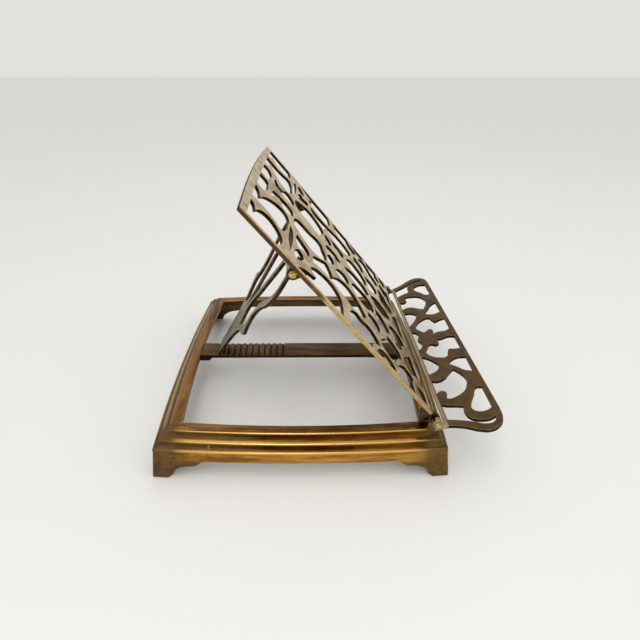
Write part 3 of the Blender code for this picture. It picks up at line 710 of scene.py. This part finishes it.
def bar_bronze():
    """Dull dark brown bar, with painted shade from just below its top down: in the notches between its teeth
    and on its sides.
    """
    material, tree, shader = new_metal("bar_bronze")
    height = add_node(tree, "ShaderNodeSeparateXYZ", Vector=object_place(tree)).outputs["Z"]
    notch_shade = smooth_mask(tree, height, BASE_HEIGHT - 0.4 * MM, BASE_HEIGHT - 1.6 * MM)
    streaks = clouds(tree, 60.0, 0.35, 0.68, (2.5, 0.4, 2.5))
    colour = blend_colour(tree, streaks, (0.150, 0.088, 0.033), (0.078, 0.046, 0.017))
    amber = clouds(tree, 30.0, 0.56, 0.7)
    colour = blend_colour(tree, times(tree, amber, 0.7), colour, (0.22, 0.115, 0.035))
    # painted shade: the notches and everything below the tops of the teeth turned near black
    colour = blend_colour(tree, notch_shade, colour, (0.028, 0.018, 0.010))
    roughness = mix_value(tree, streaks, 0.38, 0.55)
    set_metal(tree, shader, colour, roughness, 0.35, Grain=1500.0, Pits=420.0, Hollows=90.0)
    return material


def plate_brass(name, front, face_colours, wall_shade_colours, back_colours, rim_highlight_colour, patch, gloss, edge=None,
                strip=None):
    """Pierced plate: a face with patches of a tint, painted shade on its cut walls, a dull back and a painted
    highlight along its rims. Past a half width, the outer edge has a painted highlight below a height and
    painted shade above it. A strip has its own colour behind a line."""
    material, tree, shader = new_metal(name)
    sides = use_group(tree, SIDES, Front=front)
    mottled = clouds(tree, 95.0, 0.36, 0.66)
    fine = clouds(tree, 420.0, 0.35, 0.72)
    face = blend_colour(tree, mottled, *face_colours)
    wall = blend_colour(tree, clouds(tree, 130.0, 0.4, 0.62), *wall_shade_colours)
    back = blend_colour(tree, mottled, *back_colours)
    tint, amount, size = patch
    spread = times(tree, clouds(tree, size, 0.5, 0.66), amount)
    face = blend_colour(tree, spread, face, tint)
    # painted shade: the cut walls of the openings turned near black
    colour = blend_colour(tree, sides.outputs["Wall"], face, wall)
    colour = blend_colour(tree, sides.outputs["Back"], colour, back)
    parts = add_node(tree, "ShaderNodeSeparateXYZ", Vector=object_place(tree))
    # painted light on the outer edge: a painted highlight in gold below a height, painted shade above it
    if edge:
        half_width, height, edge_highlight_colour, edge_shade_colour = edge
        outer = smooth_mask(tree, calculate(tree, "ABSOLUTE", parts.outputs["X"]), half_width - 1.0 * MM,
                            half_width - 0.6 * MM)
        ragged = calculate(tree, "ADD", parts.outputs["Z"], times(tree, mottled, 12 * MM))
        upper = smooth_mask(tree, ragged, height - 14 * MM, height + 14 * MM)
        edge_highlight_and_shade = blend_colour(tree, upper, edge_highlight_colour, edge_shade_colour)
        shade = blend_colour(tree, 0.35, edge_highlight_and_shade, blend_colour(tree, fine, edge_highlight_and_shade, colour))
        colour = blend_colour(tree, outer, colour, shade)
    if strip:
        line, strip_colour = strip
        inner = smooth_mask(tree, parts.outputs["Y"], line - 0.5 * MM, line + 0.5 * MM)
        inner = times(tree, inner, mix_value(tree, mottled, 0.9, 0.6))
        colour = blend_colour(tree, inner, colour, strip_colour)
    # painted highlight along the rounded rims, broken up by fine noise
    rim_highlight = times(tree, sides.outputs["Rim"], mix_value(tree, fine, 0.95, 0.45))
    colour = blend_colour(tree, rim_highlight, colour, rim_highlight_colour)
    roughness = mix_value(tree, fine, gloss, gloss + 0.14)
    roughness = mix_value(tree, sides.outputs["Wall"], roughness, 0.5)
    roughness = mix_value(tree, rim_highlight, roughness, 0.24)
    set_metal(tree, shader, colour, roughness, 0.35, Grain=1700.0, Pits=520.0, Hollows=110.0)
    return material


def hinge_bronze():
    """Near black brown of the hinge lugs, mottled with lighter, glossier patches."""
    material, tree, shader = new_metal("hinge_bronze")
    mottled = clouds(tree, 240.0, 0.38, 0.66)
    colour = blend_colour(tree, mottled, (0.040, 0.025, 0.011), (0.125, 0.08, 0.033))
    roughness = mix_value(tree, mottled, 0.42, 0.3)
    set_metal(tree, shader, colour, roughness, 0.4, Grain=1500.0, Pits=600.0, Hollows=200.0)
    return material


def screw_brass():
    """Bright turned brass with fine patches of tarnish."""
    material, tree, shader = new_metal("screw_brass")
    mottled = clouds(tree, 500.0, 0.42, 0.66)
    colour = blend_colour(tree, mottled, (0.62, 0.44, 0.17), (0.26, 0.155, 0.045))
    roughness = mix_value(tree, mottled, 0.2, 0.36)
    set_metal(tree, shader, colour, roughness, 0.2, Grain=2500.0, Pits=900.0, Hollows=300.0)
    return material


PANEL_FRONT = tuple(PANEL_PLACE.to_3x3() @ Vector((0, 0, 1)))
LEDGE_FRONT = tuple(LEDGE_PLACE.to_3x3() @ Vector((0, 0, -1)))
PROP_FRONT = tuple(PROP_PLACE.to_3x3() @ Vector((0, 0, -1)))
BASE_BRASS = cast_base_brass()
BAR_BRONZE = bar_bronze()
# In these plate finishes the wall colours are painted shade and the rim colour is a painted highlight.
PANEL_BRASS = plate_brass(
    "champagne_panel_brass", PANEL_FRONT, face_colours=((0.72, 0.55, 0.31), (0.36, 0.25, 0.12)),
    wall_shade_colours=((0.013, 0.009, 0.005), (0.060, 0.036, 0.013)),
    back_colours=((0.10, 0.062, 0.026), (0.17, 0.11, 0.046)), rim_highlight_colour=(0.90, 0.72, 0.40),
    patch=((0.16, 0.105, 0.05), 0.5, 60.0), gloss=0.27,
    # edge: the lower colour is a painted highlight, the upper colour painted shade
    edge=(123 * MM, 0.165, (0.62, 0.44, 0.20), (0.13, 0.07, 0.026)))
LEDGE_BRONZE = plate_brass(
    "ledge_bronze", LEDGE_FRONT, face_colours=((0.082, 0.055, 0.027), (0.125, 0.082, 0.040)),
    wall_shade_colours=((0.018, 0.012, 0.007), (0.05, 0.030, 0.013)),
    back_colours=((0.06, 0.038, 0.018), (0.10, 0.062, 0.027)), rim_highlight_colour=(0.34, 0.22, 0.09),
    patch=((0.17, 0.07, 0.022), 0.5, 38.0), gloss=0.34,
    strip=(JOINTS["ledge_fold"].y - 8.7 * MM, (0.46, 0.36, 0.22)))
PROP_BRONZE = plate_brass(
    "prop_bronze", PROP_FRONT, face_colours=((0.16, 0.118, 0.052), (0.085, 0.06, 0.025)),
    wall_shade_colours=((0.030, 0.021, 0.010), (0.10, 0.068, 0.027)),
    back_colours=((0.10, 0.07, 0.030), (0.16, 0.112, 0.048)), rim_highlight_colour=(0.58, 0.45, 0.23),
    patch=((0.20, 0.095, 0.03), 0.5, 80.0), gloss=0.30)
HINGE_BRONZE = hinge_bronze()
SCREW_BRASS = screw_brass()


# ---- base ---------------------------------------------------------------------------------
LOWER_EDGE = 99                   # depth in rail_section() that stands for the lower edge


def foot_outline():
    """Bracket foot along a rail: distance from the corner and lower edge height, in mm."""
    return [(0, 0), (5, 0), (12.8, 0), (13.2, 1.6), (13.9, 3.8), (15.2, 5.9), (17.0, 7.7), (19.4, 9.4),
            (22.2, 10.8), (25.6, 11.8), (29.0, 12.3), (32.0, 12.5), (34.2, 12.9), (36.2, 13.9), (38.0, 15.4),
            (39.6, 16.8), (41.2, FASCIA_BOTTOM / MM)]


def rail_section():
    """Closed section of the hollow rail as (inset, depth below the top) in mm."""
    return [
        (RAIL_WIDTH / MM, 0), (17, 0), (13.4, 0), (12.6, 0.12), (12.0, 0.45), (11.7, 0.95),
        (11.6, 1.4), (11.1, 2.7), (10.2, 3.8), (8.9, 4.6), (7.4, 5.05), (6.1, 5.15), (5.5, 5.3),
        (5.0, 5.65), (4.75, 6.1), (4.65, 6.6), (4.3, 7.9), (3.5, 9.1), (2.5, 9.85), (1.5, 10.15),
        (0.8, 10.25), (0.35, 10.5), (0.08, 10.95), (0, 11.6), (0, 14.0),
        (-0.01, LOWER_EDGE), (SHELL / MM, LOWER_EDGE), (SHELL / MM, 14.4), (5.6, 10.6), (9.5, 7.2),
        (13.0, 4.0), (RAIL_WIDTH / MM, 4.0)]


def rail_stations(length):
    """Places along one rail from corner to corner: (position -1..1, lower edge height)."""
    foot = [(distance * MM, height * MM) for distance, height in foot_outline()]
    reach = foot[-1][0]
    plain = [reach + (length / 2 - reach) * step / 10 for step in range(1, 11)]
    first_half = foot + [(distance, FASCIA_BOTTOM) for distance in plain]
    stations = [(distance / (length / 2) - 1, height) for distance, height in first_half]
    return stations + [(-place, height) for place, height in reversed(stations[:-1])]


def rail(length, across, quarter_turns):
    """One side of the base: its section extruded station by station, then bowed, mitred and footed."""
    section = rail_section()
    stations = rail_stations(length)
    bpy.ops.object.select_all(action="DESELECT")
    bpy.ops.mesh.primitive_circle_add(vertices=len(section), fill_type="NOTHING")
    item = current()
    for vertex, (inset, depth) in zip(item.data.vertices, section):
        vertex.co = (0, inset, depth)
    bpy.ops.object.mode_set(mode="EDIT")
    bpy.ops.mesh.select_all(action="SELECT")
    for _ in stations[1:]:
        bpy.ops.mesh.extrude_region_move(TRANSFORM_OT_translate={"value": (1, 0, 0)})
    bpy.ops.object.mode_set(mode="OBJECT")
    turn = Matrix.Translation((0, BASE_Y, 0)) @ Matrix.Rotation(quarter_turns * math.pi / 2, 4, "Z")
    for vertex in item.data.vertices:
        place, lower = stations[round(vertex.co.x)]
        inset, depth = vertex.co.y * MM, vertex.co.z * MM
        bow = RAIL_BOW * (1 - place * place)
        z = BASE_HEIGHT - depth
        if round(vertex.co.z) == LOWER_EDGE:
            z = lower
            inset -= FOOT_FLARE * (1 - lower / FLARE_TOP)
        vertex.co = turn @ Vector((place * (length / 2 - inset), -(across / 2 - inset + bow), z))
    return item


def cast_base():
    base = joined([rail(BASE_WIDTH, BASE_DEPTH, 0), rail(BASE_DEPTH, BASE_WIDTH, 1),
                   rail(BASE_WIDTH, BASE_DEPTH, 2), rail(BASE_DEPTH, BASE_WIDTH, 3)])
    clean_shell(base)
    round_rims(base, 0.9 * MM, 62)
    finish_piece(base, "cast_base", Matrix.Identity(4), BASE_BRASS, "base", ("base_frame",))


def notched_bar():
    """Flat bar with rounded teeth in front of the rearmost notch, tabbed under both rails."""
    top = BASE_HEIGHT
    under = top - BAR_THICK
    end = BASE_DEPTH / 2 + RAIL_BOW - RAIL_WIDTH - GAP
    tab_end = end + BAR_TAB
    tab_low = under - GAP - BAR_TAB_THICK
    step_end = end - BAR_STEP_IN
    tip = PROP_PLACE @ Vector((0, -PROP_LENGTH, PROP_THICK / 2))
    notch_y = tip.y - BASE_Y
    first_notch = notch_y - TOOTH_COUNT * TOOTH_PITCH
    side = [(-tab_end, tab_low), (-tab_end, under - GAP), (-end, under - GAP), (-end, top),
            (first_notch - BAR_RAMP, top)]
    steps = 10
    for tooth in range(TOOTH_COUNT):
        for step in range(steps):
            crest = math.sin(math.pi * step / steps) ** 0.5
            side.append((first_notch + (tooth + step / steps) * TOOTH_PITCH,
                         top - TOOTH_DEPTH * (1 - crest)))
    side += [(notch_y, top - TOOTH_DEPTH), (notch_y + NOTCH_RUN, top), (end, top), (end, under - GAP),
             (tab_end, under - GAP), (tab_end, tab_low), (step_end, tab_low),
             (step_end - BAR_STEP_RUN, under), (BAR_STEP_RUN - step_end, under), (-step_end, tab_low)]
    bar = slab(side, -BAR_WIDTH / 2, BAR_WIDTH / 2, 0.35 * MM)
    place = Matrix.Translation((0, BASE_Y, 0))
    finish_piece(bar, "notched_bar", place, BAR_BRONZE, "base", ("ratchet_bar",))


# ---- hinge pieces -------------------------------------------------------------------------
LUG_X = (112.3 * MM, 116.2 * MM)
EAR_X = (117.1 * MM, 121.2 * MM)
EYE_X = (122.1 * MM, 127.4 * MM)
PROP_EAR_X = (79.6 * MM, 85.2 * MM)
PROP_LUG_X = (86.1 * MM, 92.1 * MM)
HINGE_HEIGHT = JOINTS["panel_tilt"].z


def washer_pair(name, x_low, x_high, placement, body):
    rim = 0.12 * MM
    profile = [(x_low, BORE_RADIUS), (x_low, WASHER_RADIUS - rim), (x_low + rim, WASHER_RADIUS),
               (x_high - rim, WASHER_RADIUS), (x_high, WASHER_RADIUS - rim), (x_high, BORE_RADIUS)]
    finish_pair(turned(profile), name, placement, SCREW_BRASS, body, name)


def hinge_lugs():
    """Lugs on the base's front corners, with their pins and washers."""
    foot = BASE_HEIGHT + GAP - HINGE_HEIGHT
    outline = taut_outline(circle_points((0, 0), RING_RADIUS + 0.6 * MM) + [
        (y, z) for z in (foot, foot + LUG_FOOT_RISE) for y in LUG_FOOT])
    lug = slab(outline, *LUG_X, 0.5 * MM)
    drill(lug, LUG_X[0] - MM, LUG_X[1] + MM, BORE_RADIUS)
    finish_pair(lug, "hinge_lug_cast", HINGE_PLACE, HINGE_BRONZE, "base", "hinge_lug")
    start, end = LUG_X[0] - 0.4 * MM, EAR_X[1] - 1.2 * MM
    rim = 0.35 * MM
    pin = turned([(start, 0), (start, PIN_RADIUS - rim), (start + rim, PIN_RADIUS), (end - rim, PIN_RADIUS),
                  (end - 0.1 * MM, PIN_RADIUS - 0.15 * MM), (end, PIN_RADIUS - rim), (end, 0)])
    finish_pair(pin, "hinge_pin_turned", HINGE_PLACE, HINGE_BRONZE, "base", "hinge_pin")
    washer_pair("hinge_washer", LUG_X[1] + GAP, EAR_X[0] - GAP, HINGE_PLACE, "base")


def screw_head(start, end, head_end, head_radius):
    """Shank and a domed head, as a profile for turning."""
    dome = [(end + (head_end - end) * math.sin(math.pi / 2 * step / 6) ** 0.7,
             head_radius * math.cos(math.pi / 2 * step / 6) ** 0.55) for step in range(7)]
    return [(start, 0), (start, PIN_RADIUS - 0.3 * MM), (start + 0.3 * MM, PIN_RADIUS), (end, PIN_RADIUS),
            (end, head_radius - 0.1 * MM)] + dome[:-1] + [(head_end, 0)]


# ---- plates -------------------------------------------------------------------------------
def back_panel():
    openings = both_sides(PANEL_OPENINGS, PANEL_MIDDLE_OPENINGS)
    panel = pierced_plate(PANEL_EDGE, openings, PANEL_THICK, 0.5 * MM, 6, PANEL_TRIM)
    lift = Matrix.Translation((0, 0, PANEL_BACK + PANEL_THICK / 2))
    finish_piece(panel, "pierced_panel", PANEL_PLACE @ lift, PANEL_BRASS, "panel",
                 ("back_panel",))
    ledge_centre = (-LEDGE_AXIS_DOWN, LEDGE_AXIS_OUT)
    outline = taut_outline(circle_points((0, 0), RING_RADIUS) + circle_points(ledge_centre, RING_RADIUS)
                           + [(EAR_REACH, PANEL_BACK + MM), (EAR_REACH, PANEL_BACK)])
    ear = slab(outline, *EAR_X, 0.45 * MM)
    for centre in ((0, 0), ledge_centre):
        drill(ear, EAR_X[0] - MM, EAR_X[1] + MM, BORE_RADIUS, centre)
    finish_pair(ear, "panel_ear", PANEL_PLACE, HINGE_BRONZE, "panel")

    prop_centre = (PROP_AXIS_UP, -PROP_AXIS_BACK)
    lug_top = PANEL_BACK - GAP
    outline = taut_outline(circle_points(prop_centre, PROP_LUG_RADIUS) + [
        (PROP_AXIS_UP - 9 * MM, lug_top), (PROP_AXIS_UP + 7 * MM, lug_top)])
    lug = slab(outline, *PROP_LUG_X, 0.5 * MM)
    drill(lug, PROP_LUG_X[0] - MM, PROP_LUG_X[1] + MM, BORE_RADIUS, prop_centre)
    finish_pair(lug, "prop_lug_cast", PANEL_PLACE, PROP_BRONZE, "panel", "prop_lug")
    screw = turned(screw_head(PROP_EAR_X[0] + 0.5 * MM, PROP_LUG_X[1] + GAP,
                              PROP_LUG_X[1] + SCREW_HEAD_RISE, PROP_SCREW_RADIUS))
    finish_pair(screw, "prop_screw_turned", PROP_HINGE_PLACE, SCREW_BRASS, "panel",
                "prop_screw")
    screw = turned(screw_head(EAR_X[0] + 0.4 * MM, EYE_X[1] + GAP,
                              EYE_X[1] + SCREW_HEAD_RISE, LEDGE_SCREW_RADIUS))
    finish_pair(screw, "ledge_screw_turned", LEDGE_HINGE_PLACE, SCREW_BRASS, "panel",
                "ledge_screw")


def eye_pair(name, x_low, x_high, radius, placement, material, body, slot):
    """Turned rings round a hinge line, with rounded rims."""
    rim = 0.5 * MM
    arc = [(rim * (1 - math.cos(math.pi / 2 * step / 3)), rim * (1 - math.sin(math.pi / 2 * step / 3)))
           for step in range(4)]
    profile = [(x_low, BORE_RADIUS)] + [(x_low + dx, radius - dr) for dx, dr in arc]
    profile += [(x_high - dx, radius - dr) for dx, dr in reversed(arc)] + [(x_high, BORE_RADIUS)]
    finish_pair(turned(profile), name, placement, material, body)


def ledge():
    openings = both_sides(LEDGE_OPENINGS, LEDGE_MIDDLE_OPENINGS)
    plate = pierced_plate(LEDGE_EDGE, openings, LEDGE_THICK, 0.45 * MM, 8)
    drop = Matrix.Translation((0, 0, LEDGE_FACE_DROP + LEDGE_THICK / 2))
    finish_piece(plate, "pierced_ledge", LEDGE_PLACE @ drop, LEDGE_BRONZE, "ledge",
                 ("ledge",))
    eye_pair("ledge_eye", *EYE_X, EYE_RADIUS, LEDGE_PLACE, LEDGE_BRONZE, "ledge", "ledge_brass")
    washer_pair("ledge_washer", EAR_X[1] + GAP, EYE_X[0] - GAP, LEDGE_HINGE_PLACE, "ledge")


def prop():
    left_edge = [(x, -y, *rest) for x, y, *rest in PROP_EDGE]
    right_edge = [(-x, y, *rest) for x, y, *rest in left_edge]
    openings = [[(x, -y, *rest) for x, y, *rest in opening]
                for opening in both_sides(PROP_OPENINGS, PROP_MIDDLE_OPENINGS)]
    strut = pierced_plate(PROP_CREST + right_edge + left_edge[::-1], openings, PROP_THICK, 0.8 * MM, 8)
    finish_piece(strut, "lyre_prop", PROP_PLACE, PROP_BRONZE, "prop", ("prop",))
    eye_pair("prop_eye", *PROP_EAR_X, PROP_EYE_RADIUS, PROP_PLACE, PROP_BRONZE, "prop", "prop_brass")
    washer_pair("prop_washer", PROP_EAR_X[1] + GAP, PROP_LUG_X[0] - GAP, PROP_HINGE_PLACE, "prop")


# ---- room, light and camera ---------------------------------------------------------------
def floor():
    bpy.ops.object.select_all(action="DESELECT")
    bpy.ops.mesh.primitive_plane_add(size=40.0, location=(0, 0, -0.0002))
    ground = current()
    ground.name = "floor"
    material = bpy.data.materials.new("pale_floor")
    material.use_nodes = True
    shader = material.node_tree.nodes["Principled BSDF"]
    shader.inputs["Base Color"].default_value = (0.90, 0.895, 0.88, 1)
    shader.inputs["Roughness"].default_value = 0.6
    ground.data.materials.append(material)


def area_light(name, location, target, size, power):
    light = bpy.data.lights.new(name, "AREA")
    light.shape = "RECTANGLE"
    light.size, light.size_y = size
    light.energy = power
    item = bpy.data.objects.new(name, light)
    bpy.context.scene.collection.objects.link(item)
    item.location = location
    item.rotation_euler = (Vector(target) - Vector(location)).to_track_quat("-Z", "Y").to_euler()


def lights():
    bpy.context.scene.view_settings.view_transform = "Standard"
    world = bpy.data.worlds.new("room")
    bpy.context.scene.world = world
    world.use_nodes = True
    backdrop = world.node_tree.nodes["Background"]
    backdrop.inputs["Color"].default_value = (0.80, 0.79, 0.765, 1)
    backdrop.inputs["Strength"].default_value = 0.95
    area_light("ceiling", (0.15, -0.1, 1.5), (0, 0, 0), (2.6, 2.2), 2.5)
    area_light("window", (-0.5, -1.3, 0.9), (0, 0, 0.1), (1.2, 1.0), 1.5)
    area_light("strip", (-0.55, 0.1, 0.95), (0, 0, 0.05), (0.25, 0.8), 2.2)


def camera():
    data = bpy.data.cameras.new("camera")
    item = bpy.data.objects.new("camera", data)
    bpy.context.scene.collection.objects.link(item)
    item.location = (-0.3975, 0.0133, 0.2959)
    item.rotation_euler = Vector((0.8715, -0.0054, -0.4903)).to_track_quat("-Z", "Y").to_euler()
    data.sensor_width = 36
    data.lens = 25.2
    data.shift_x = 0.0199
    data.shift_y = 0.0008
    data.clip_start = 0.01
    bpy.context.scene.camera = item


camera()
floor()
lights()
cast_base()
notched_bar()
hinge_lugs()
back_panel()
ledge()
prop()
